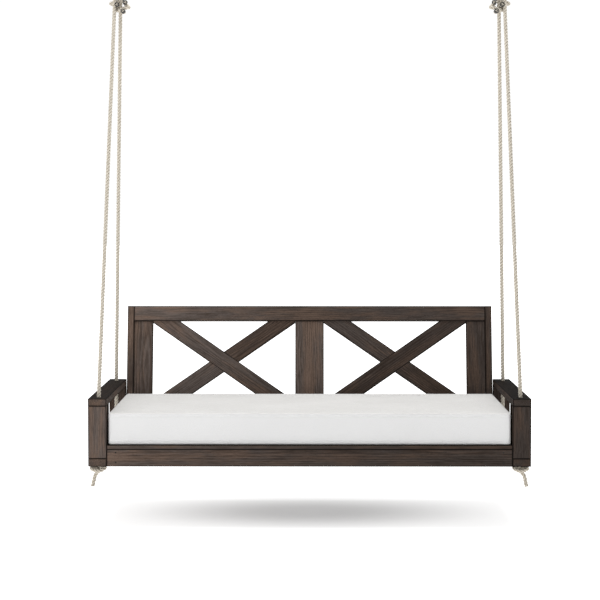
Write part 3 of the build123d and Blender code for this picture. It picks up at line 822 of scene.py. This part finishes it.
def galvanised_finish():
    zinc = Finish("galvanised_steel")
    place = zinc.coordinates()
    spangle = zinc.node("TexVoronoi", {"feature": "F1"}, {"Vector": place, "Scale": 190.0}, "Color")
    grain = zinc.noise(place, 420.0, 3.0)
    cloud = zinc.noise(place, 60.0, 3.0)
    tone = zinc.mix(zinc.dot(spangle, (0.6, 0.4, 0.0)), colour(0.36, 0.37, 0.38), colour(0.58, 0.59, 0.60))
    zinc.shade(Base_Color=tone, Roughness=0.32 + cloud * 0.2 + grain * 0.08)
    zinc.shader.inputs["Metallic"].default_value = 1.0
    zinc.bump(grain + cloud, 0.00012, 0.6)
    return zinc.material


def coated_finish():
    coat = Finish("coated_steel")
    place = coat.coordinates()
    grain = coat.noise(place, 800.0, 2.0)
    worn = coat.ease(coat.noise(place, 240.0, 4.0), 0.58, 0.70)
    coat.shade(
        Base_Color=coat.mix(worn, colour(0.020, 0.017, 0.015), colour(0.120, 0.095, 0.075)),
        Roughness=0.45 + grain * 0.2,
        Metallic=0.6 + worn * 0.4,
    )
    coat.bump(grain, 0.0001, 0.5)
    return coat.material


def beech_finish():
    beech = Finish("beech_dowel")
    place = beech.coordinates()
    fine = beech.noise(beech.vector(beech.dot(place, (1, 0, 0)) * 500, beech.dot(place, (0, 1, 0)) * 500,
                                    beech.dot(place, (0, 0, 1)) * 60), 1.0, 3.0)
    beech.shade(Base_Color=beech.mix(fine, colour(0.42, 0.28, 0.16), colour(0.62, 0.47, 0.30)), Roughness=0.7)
    beech.bump(fine, 0.0002, 0.5)
    return beech.material


galvanised, coated, beech = galvanised_finish(), coated_finish(), beech_finish()
node_finish = {"galvanised_steel": galvanised, "coated_steel": coated, "dowel_wood": beech}
for part in subparts:
    finish = node_finish.get(part["material_slot"])
    if finish:
        for slot in frame["nodes"][part["node"]].material_slots:
            slot.material = finish
print("small finishes", ", ".join(node_finish))

# %% [markdown]
# Screws, stitches and zip teeth repeat many times, so they are grown with Geometry Nodes: points go
# in, one small shape is built in the tree and set on every point, and the result is baked into a
# plain mesh. The class writes a tree the way the finishes are written, one node to a line.

# %% Growing repeats


class Grower:
    """A Geometry Nodes tree in the making, with named inputs."""

    def __init__(self, name, **inputs):
        self.tree = bpy.data.node_groups.new(name, "GeometryNodeTree")
        self.values = inputs
        sockets = self.tree.interface
        sockets.new_socket("Geometry", in_out="INPUT", socket_type="NodeSocketGeometry")
        self.identifiers = []
        for label, value in inputs.items():
            kind = "NodeSocketFloat" if isinstance(value, float) else "NodeSocketMaterial"
            made = sockets.new_socket(label, in_out="INPUT", socket_type=kind)
            self.identifiers.append(made.identifier)
        sockets.new_socket("Geometry", in_out="OUTPUT", socket_type="NodeSocketGeometry")
        self.given = self.tree.nodes.new("NodeGroupInput").outputs

    def add(self, kind, sockets=None, settings=None, output=0):
        """A node of this kind with its sockets fed; returns one output."""
        node = self.tree.nodes.new(kind)
        for key, value in (settings or {}).items():
            setattr(node, key, value)
        for key, value in (sockets or {}).items():
            if isinstance(value, bpy.types.NodeSocket):
                self.tree.links.new(value, node.inputs[key])
            else:
                node.inputs[key].default_value = value
        return node.outputs[output]

    def math(self, operation, a, b):
        return self.add("ShaderNodeMath", {0: a, 1: b}, {"operation": operation})

    def raised(self, geometry, z):
        """Geometry moved up by z."""
        lift = self.add("ShaderNodeCombineXYZ", {"Z": z})
        return self.add("GeometryNodeTransform", {"Geometry": geometry, "Translation": lift})

    def joined(self, *parts):
        node = self.tree.nodes.new("GeometryNodeJoinGeometry")
        for part in parts:
            self.tree.links.new(part, node.inputs[0])
        return node.outputs[0]

    def finish(self, instances):
        """Realize the instances, give them the material and end the tree."""
        real = self.add("GeometryNodeRealizeInstances", {"Geometry": instances})
        done = self.add("GeometryNodeSetMaterial", {"Geometry": real, "Material": self.given["Material"]})
        output = self.tree.nodes.new("NodeGroupOutput")
        self.tree.links.new(done, output.inputs[0])

    def bake(self, name, seeds, body, nodes, slot):
        """Grow on a mesh of points or edges, and keep the result as a plain piece."""
        piece = bpy.data.objects.new(name, seeds)
        scene.collection.objects.link(piece)
        modifier = piece.modifiers.new("grow", "NODES")
        modifier.node_group = self.tree
        for identifier, value in zip(self.identifiers, self.values.values()):
            modifier[identifier] = value
        applied(piece)
        for polygon in piece.data.polygons:
            polygon.use_smooth = len(polygon.vertices) < 5
        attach(piece, body)
        if nodes:
            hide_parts(*nodes)
        print(name, "triangles", sum(len(p.vertices) - 2 for p in piece.data.polygons))


# %% [markdown]
# The model says where each screw is and which way it points. A node of screws is split into its
# separate solids; the longest direction of a solid is its axis, and its wide end is its head.

# %% Where the screws are


def solids_of(name):
    """The points of each separate solid in a node."""
    work = bmesh.new()
    work.from_mesh(frame["nodes"][name].data)
    bmesh.ops.remove_doubles(work, verts=work.verts, dist=1e-6)
    found, seen = [], set()
    for start in work.verts:
        if start in seen:
            continue
        seen.add(start)
        group, queue = [], [start]
        while queue:
            vertex = queue.pop()
            group.append(vertex.co[:])
            for edge in vertex.link_edges:
                other = edge.other_vert(vertex)
                if other not in seen:
                    seen.add(other)
                    queue.append(other)
        found.append(np.array(group))
    work.free()
    return found


def head_of(points):
    """The middle of a screw's head and the way that it faces."""
    middle = points.mean(0)
    axis = np.linalg.svd(points - middle, full_matrices=False)[2][0]
    along = (points - middle) @ axis
    across = np.linalg.norm(points - middle - along[:, None] * axis, axis=1)
    if along[across > across.max() * 0.8].mean() < 0:
        axis, along = -axis, -along
    return middle + axis * along.max(), axis


def head_points(name):
    """A mesh with one point at each head, and the way it faces as an attribute."""
    heads = [head_of(points) for points in solids_of(name)]
    mesh = bpy.data.meshes.new(name + "_points")
    mesh.from_pydata([tuple(place) for place, _ in heads], [], [])
    facing = mesh.attributes.new("facing", "FLOAT_VECTOR", "POINT")
    facing.data.foreach_set("vector", np.array([axis for _, axis in heads], np.float32).ravel())
    return mesh


# %% [markdown]
# Decking screws have a countersunk head with a six-pointed star socket, which a driver can't slip
# out of. The star is a prism with twelve corners whose every other corner is drawn in, and it is
# cut out of the head. Built once in the tree, the screw is set on every point, turned to its facing.

# %% Star-drive screws
socket_size = 0.56          # of the head's radius
socket_depth = 1.3          # of the head's depth, half of it above the head
star_waist = 0.28           # how far every other corner is drawn in
tip_length = 2.5            # of the shank's radius
tip_radius = 0.0003


def screw_tree(head_radius, head, shank_radius, length):
    """A countersunk screw with a six-pointed socket, standing on every point along its facing."""
    tree = Grower(
        "star_drive_screw", Head_Radius=head_radius, Head_Depth=head, Shank_Radius=shank_radius,
        Length=length, Material=coated,
    )
    radius, depth = tree.given["Head_Radius"], tree.given["Head_Depth"]
    shank, reach = tree.given["Shank_Radius"], tree.given["Length"]
    cone = {"Vertices": 32, "Radius Top": radius, "Radius Bottom": shank, "Depth": depth}
    top = tree.raised(tree.add("GeometryNodeMeshCone", cone), tree.math("MULTIPLY", depth, -1.0))
    size = tree.math("MULTIPLY", radius, socket_size)
    plug = {"Vertices": 12, "Radius": size, "Depth": tree.math("MULTIPLY", depth, socket_depth)}
    plug = tree.add("GeometryNodeMeshCylinder", plug)
    odd = tree.math("MODULO", tree.add("GeometryNodeInputIndex"), 2.0)
    slim = tree.math("SUBTRACT", 1.0, tree.math("MULTIPLY", odd, star_waist))
    squeeze = tree.add("ShaderNodeCombineXYZ", {"X": slim, "Y": slim, "Z": 1.0})
    place = tree.add("GeometryNodeInputPosition")
    starred = tree.add("ShaderNodeVectorMath", {0: place, 1: squeeze}, {"operation": "MULTIPLY"})
    star = tree.add("GeometryNodeSetPosition", {"Geometry": plug, "Position": starred})
    cut = {"Mesh 1": top, "Mesh 2": star}
    socketed = tree.add("GeometryNodeMeshBoolean", cut, {"operation": "DIFFERENCE"})
    tip = tree.math("MULTIPLY", shank, tip_length)
    straight = tree.math("SUBTRACT", tree.math("SUBTRACT", reach, depth), tip)
    rod = tree.add("GeometryNodeMeshCylinder", {"Vertices": 16, "Radius": shank, "Depth": straight})
    down = tree.math("MULTIPLY", tree.math("ADD", depth, tree.math("MULTIPLY", straight, 0.5)), -1.0)
    point = {"Vertices": 16, "Radius Top": shank, "Radius Bottom": tip_radius, "Depth": tip}
    point = tree.raised(tree.add("GeometryNodeMeshCone", point), tree.math("MULTIPLY", reach, -1.0))
    screw = tree.joined(socketed, tree.raised(rod, down), point)
    way = tree.add("GeometryNodeInputNamedAttribute", {"Name": "facing"}, {"data_type": "FLOAT_VECTOR"})
    turn = tree.add("FunctionNodeAlignRotationToVector", {"Vector": way}, {"axis": "Z"})
    spread = {"Points": tree.given["Geometry"], "Instance": screw, "Rotation": turn}
    tree.finish(tree.add("GeometryNodeInstanceOnPoints", spread))
    return tree


frame_screw = screw_tree(head_radius=0.0038, head=0.0030, shank_radius=0.0024, length=0.075)
deck_screw = screw_tree(head_radius=0.0040, head=0.0026, shank_radius=0.0020, length=0.042)
screws = {"frame_screws": frame_screw, "back_screws": frame_screw, "deck_screws": deck_screw}
for name, tree in screws.items():
    tree.bake("star_drive_" + name, head_points(name), "seat", [name], "coated_steel")

# %% [markdown]
# The seams are lock-stitched. A plane cut through the cushion at the height of a seam gives the line
# of the thread on the cloth itself, so the stitches lie in the hollow that the seam pressed in.

# %% Seam lines
beside_vertices = 0.0002    # so that the cut doesn't run through vertices


def seam_loop(levels):
    """The edges where level planes cut the cushion, as one mesh."""
    points, edges = [], []
    for level in levels:
        work = bmesh.new()
        work.from_mesh(cushion.data)
        everything = work.verts[:] + work.edges[:] + work.faces[:]
        at = (0, 0, level + beside_vertices)
        bmesh.ops.bisect_plane(work, geom=everything, plane_co=at, plane_no=(0, 0, 1),
                               clear_inner=True, clear_outer=True)
        work.verts.index_update()
        edges += [tuple(v.index + len(points) for v in e.verts) for e in work.edges]
        points += [v.co[:] for v in work.verts]
        work.free()
    mesh = bpy.data.meshes.new("seam_lines")
    mesh.from_pydata(points, edges, [])
    return mesh


# %% [markdown]
# Stitches and zip teeth both stand at even steps along a line, so one function makes both trees. It
# is given another function that builds the one small shape.

# %% Stitches
stitch_pitch = 0.0052
stitch_long, stitch_thick = 0.0021, 0.00065     # half sizes


def along_line_tree(name, pitch, build, material):
    """A small shape at even steps along the edges given, its X along the edge."""
    tree = Grower(name, Pitch=pitch, Material=material)
    curve = tree.add("GeometryNodeMeshToCurve", {"Mesh": tree.given["Geometry"]})
    spaced = {"Curve": curve, "Length": tree.given["Pitch"]}
    points = tree.add("GeometryNodeCurveToPoints", spaced, {"mode": "LENGTH"})
    tangent = points.node.outputs["Tangent"]
    turn = tree.add("FunctionNodeAlignRotationToVector", {"Vector": tangent}, {"axis": "X"})
    shape, placed = build(tree, points)
    spread = {"Points": placed, "Instance": shape, "Rotation": turn}
    tree.finish(tree.add("GeometryNodeInstanceOnPoints", spread))
    return tree


def one_stitch(tree, points):
    """A bead of thread, longer than it is thick."""
    bead = tree.add("GeometryNodeMeshUVSphere", {"Segments": 6, "Rings": 4, "Radius": 1.0})
    scale = (stitch_long, stitch_thick, stitch_thick)
    return tree.add("GeometryNodeTransform", {"Geometry": bead, "Scale": scale}), points


stitches = along_line_tree("lock_stitches", stitch_pitch, one_stitch, white_canvas)
stitches.bake("seam_stitches", seam_loop(seam_levels), "cushion", [], "canvas")

# %% [markdown]
# The cover closes with a nylon zip along its rear side. Its teeth are one row that reaches up and
# down by turns, a coarse but true picture of a closed zip.

# %% Zip teeth
zip_low, zip_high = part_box("cushion_zip")
zip_middle = (zip_low + zip_high) / 2
tooth_pitch = 0.0024
tooth_size = (0.0014, 0.0018, 0.0042)
tooth_stagger = 0.0026      # between the two rows
tooth_sink = 0.0009         # middle of a tooth below the zip's face
zip_end = 0.012             # bare tape at each end


def one_tooth(tree, points):
    """A tooth that reaches across the middle, up or down by turns."""
    tooth = tree.add("GeometryNodeMeshCube", {"Size": tooth_size})
    odd = tree.math("MODULO", tree.add("GeometryNodeInputIndex"), 2.0)
    up = tree.math("MULTIPLY", tree.math("SUBTRACT", odd, 0.5), tooth_stagger)
    lift = tree.add("ShaderNodeCombineXYZ", {"Z": up})
    return tooth, tree.add("GeometryNodeSetPosition", {"Geometry": points, "Offset": lift})


def nylon_finish():
    nylon = Finish("pale_nylon")
    grain = nylon.noise(nylon.coordinates(), 700.0, 2.0)
    tone = nylon.mix(grain, colour(0.52, 0.51, 0.49), colour(0.66, 0.65, 0.63))
    nylon.shade(Base_Color=tone, Roughness=0.38 + grain * 0.15)
    nylon.bump(grain, 0.0001, 0.4)
    return nylon.material


nylon = nylon_finish()
line_mesh = bpy.data.meshes.new("zip_line")
zip_face = zip_high.y - tooth_sink
ends = [(x, zip_face, zip_middle.z) for x in (zip_low.x + zip_end, zip_high.x - zip_end)]
line_mesh.from_pydata(ends, [(0, 1)], [])
teeth = along_line_tree("zip_teeth", tooth_pitch, one_tooth, nylon)
teeth.bake("zip_teeth", line_mesh, "cushion", [], "zip")


# %% [markdown]
# The rest of the zip is plain blocks with softened edges: a tape on each side of the teeth, the
# slider that rides over them and the pull that hangs from the slider.

# %% Zip tapes and slider
tape_gap = 0.0008           # from the middle of the teeth to each tape
tape_thin = 0.0008          # how much thinner than the zip's space the tapes are
slider_in = 0.030           # from the zip's end to the slider
slider_size = (0.014, 0.0036, 0.0085)
pull_size = (0.026, 0.0014, 0.0060)
slider_rise, pull_rise = 0.0012, 0.0034     # of their middles above the tapes
tape_softness = 0.0004


def zip_tapes():
    """Two tapes with a narrow gap for the teeth, and a slider with its pull near one end."""
    work = bmesh.new()
    wide, thick, tall = zip_high - zip_low
    thick -= tape_thin
    tape_size = (wide, thick, tall / 2 - tape_gap)
    slider_x = wide / 2 - slider_in
    parts = [((0, 0, side * (tall + 2 * tape_gap) / 4), tape_size) for side in (-1, 1)]
    parts.append(((slider_x, thick / 2 + slider_rise, 0), slider_size))
    parts.append(((slider_x - pull_size[0] / 2, thick / 2 + pull_rise, 0), pull_size))
    for place, size in parts:
        made = bmesh.ops.create_cube(work, size=1.0)["verts"]
        bmesh.ops.scale(work, vec=size, verts=made)
        bmesh.ops.translate(work, vec=zip_middle + Vector(place), verts=made)
    bmesh.ops.bevel(work, geom=work.edges[:], offset=tape_softness, segments=2, profile=0.5, affect="EDGES")
    return piece_of("zip_tapes", work, nylon, smooth=False)


tapes = zip_tapes()
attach(tapes, "cushion")
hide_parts("cushion_zip")
print("zip", round(zip_high.x - zip_low.x, 3), "m long")

# %% [markdown]
# A plain studio. The room is white to look at and lights the swing evenly from all round. What the
# camera sees and what lights the swing are two strengths, mixed by the kind of ray, so the backdrop
# can be pure white while the wood stays dark.

# %% Surround
world = bpy.data.worlds.new("studio")
scene.world = world
world.use_nodes = True
sky, links = world.node_tree.nodes, world.node_tree.links
surround = 0.49             # how bright the room is as light
seen_white = 1.04           # and to the camera: just past white, so that none of it is grey
white = colour(1.0, 1.0, 1.0)
backdrop, fill = sky["Background"], sky.new("ShaderNodeBackground")
for background, strength in ((backdrop, seen_white), (fill, surround)):
    background.inputs["Color"].default_value = white
    background.inputs["Strength"].default_value = strength
seen, either = sky.new("ShaderNodeLightPath"), sky.new("ShaderNodeMixShader")
links.new(seen.outputs["Is Camera Ray"], either.inputs[0])
links.new(fill.outputs[0], either.inputs[1])
links.new(backdrop.outputs[0], either.inputs[2])
links.new(either.outputs[0], sky["World Output"].inputs["Surface"])
print("surround", surround)

# %% [markdown]
# Two soft lights: one low on the left and in front, which makes the left of the swing brighter than
# the right, and one large panel overhead, which makes the soft shadow on the floor.

# %% Lights


def area_light(name, place, target, size, power):
    """A soft panel that faces its target; its size is in metres and its power in watts."""
    data = bpy.data.lights.new(name, "AREA")
    data.shape = "RECTANGLE"
    data.size, data.size_y = size
    data.energy = power
    light = bpy.data.objects.new(name, data)
    light.location = place
    light.rotation_euler = (Vector(target) - Vector(place)).to_track_quat("-Z", "Y").to_euler()
    scene.collection.objects.link(light)
    print(name, "light", power, "W")


area_light("key", place=(-3.0, -4.0, -1.5), target=(0.0, -0.3, -2.1), size=(1.6, 1.6), power=36.0)
area_light("overhead", place=(0.0, -0.1, 2.6), target=(0.0, 0.0, -2.5), size=(5.0, 4.0), power=180.0)

# %% [markdown]
# The floor takes the shadow. A lit floor is never as white as the backdrop, and its far edge would
# show as a horizon. So it glows by itself, most far away and least below the swing, where the
# shadow has to stay visible.

# %% Floor
floor_glow = 0.36           # below the swing
near_glow, far_glow = 0.36, 0.5             # added beside the swing, and again far away
reach = 60.0


def floor_finish():
    """Pale, and glowing by itself, least below the swing, so that it meets the white backdrop."""
    pale = Finish("pale_floor")
    place = pale.coordinates()
    x, y = pale.dot(place, (1, 0, 0)), pale.dot(place, (0, 1, 0)) * 1.5
    far = pale.node("Math", {"operation": "SQRT"}, {0: x * x + y * y})
    glow = pale.ease(far, 0.15, 1.0) * near_glow + pale.ease(far, 1.2, 3.5) * far_glow + floor_glow
    cloud = pale.noise(place, 0.8, 2.0)
    pale.shade(Base_Color=pale.mix(cloud, colour(0.88, 0.88, 0.88), colour(0.92, 0.92, 0.92)), Roughness=0.8)
    pale.shade(Emission_Color=pale.grey(glow))
    pale.shader.inputs["Emission Strength"].default_value = 1.0
    pale.shader.inputs["Specular IOR Level"].default_value = 0.1
    return pale.material


floor_mesh = bpy.data.meshes.new("studio_floor")
corners = [(x * reach, y * reach, floor_z) for x, y in ((-1, -1), (1, -1), (1, 1), (-1, 1))]
floor_mesh.from_pydata(corners, [], [(0, 1, 2, 3)])
studio_floor = bpy.data.objects.new("studio_floor", floor_mesh)
floor_mesh.materials.append(floor_finish())
scene.collection.objects.link(studio_floor)
print("floor", round(floor_z, 3), "m")
